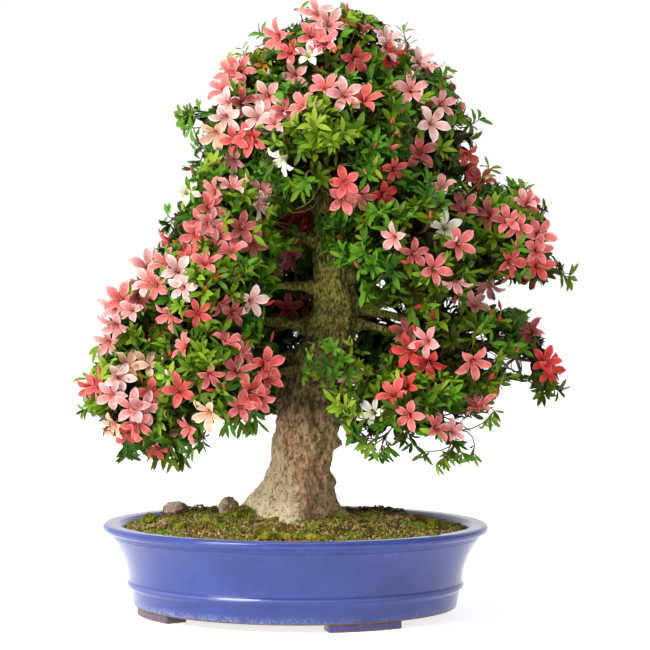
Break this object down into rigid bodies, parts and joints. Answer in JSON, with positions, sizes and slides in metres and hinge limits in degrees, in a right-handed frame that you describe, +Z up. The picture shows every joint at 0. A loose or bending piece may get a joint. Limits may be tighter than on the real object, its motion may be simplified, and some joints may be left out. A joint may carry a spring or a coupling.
{
  "type": "azalea bonsai in a pot",
  "caption": "Flowering azalea bonsai with a stout flared trunk and a dense cone of foliage and pink blossom, in an oval glazed pot on low feet.",
  "frame": {"origin": "middle of the bounding box, on the surface the pot stands on", "axes": "+Z up, +X to the picture's right, +Y away from its camera; the pot's long axis is turned 20 degrees clockwise from +X, seen from above"},
  "size_m": [0.5422, 0.4012, 0.665],
  "materials": {
    "glaze": "gloss",
    "soil": "matte",
    "stone": "matte",
    "moss": "matte",
    "bark": "matte",
    "foliage": "satin"
  },
  "bodies": {
    "root": {"bough_back_left": "bark", "bough_back_mid": "bark", "bough_back_right": "bark", "bough_crown_back": "bark", "bough_crown_front": "bark", "bough_front_sprig": "bark", "bough_left_front": "bark", "bough_left_low": "bark", "bough_left_mid": "bark", "bough_left_tip": "bark", "bough_left_upper": "bark", "bough_right_droop": "bark", "bough_right_end": "bark", "bough_right_low": "bark", "bough_right_mid": "bark", "bough_right_tip": "bark", "bough_shoulder_left": "bark", "bough_shoulder_right": "bark", "mass_apex": "foliage", "mass_back_left": "foliage", "mass_back_mid": "foliage", "mass_back_right": "foliage", "mass_crown_back": "foliage", "mass_crown_front": "foliage", "mass_front_sprig": "foliage", "mass_left_front": "foliage", "mass_left_low": "foliage", "mass_left_mid": "foliage", "mass_left_tip": "foliage", "mass_left_upper": "foliage", "mass_right_droop": "foliage", "mass_right_end": "foliage", "mass_right_low": "foliage", "mass_right_mid": "foliage", "mass_right_tip": "foliage", "mass_shoulder_left": "foliage", "mass_shoulder_right": "foliage", "moss_foot": "moss", "moss_rim_left": "moss", "moss_rim_right": "moss", "pot": "glaze", "soil": "soil", "stone_flat": "stone", "stone_pale": "stone", "trunk": "bark"}
  },
  "joints": []
}
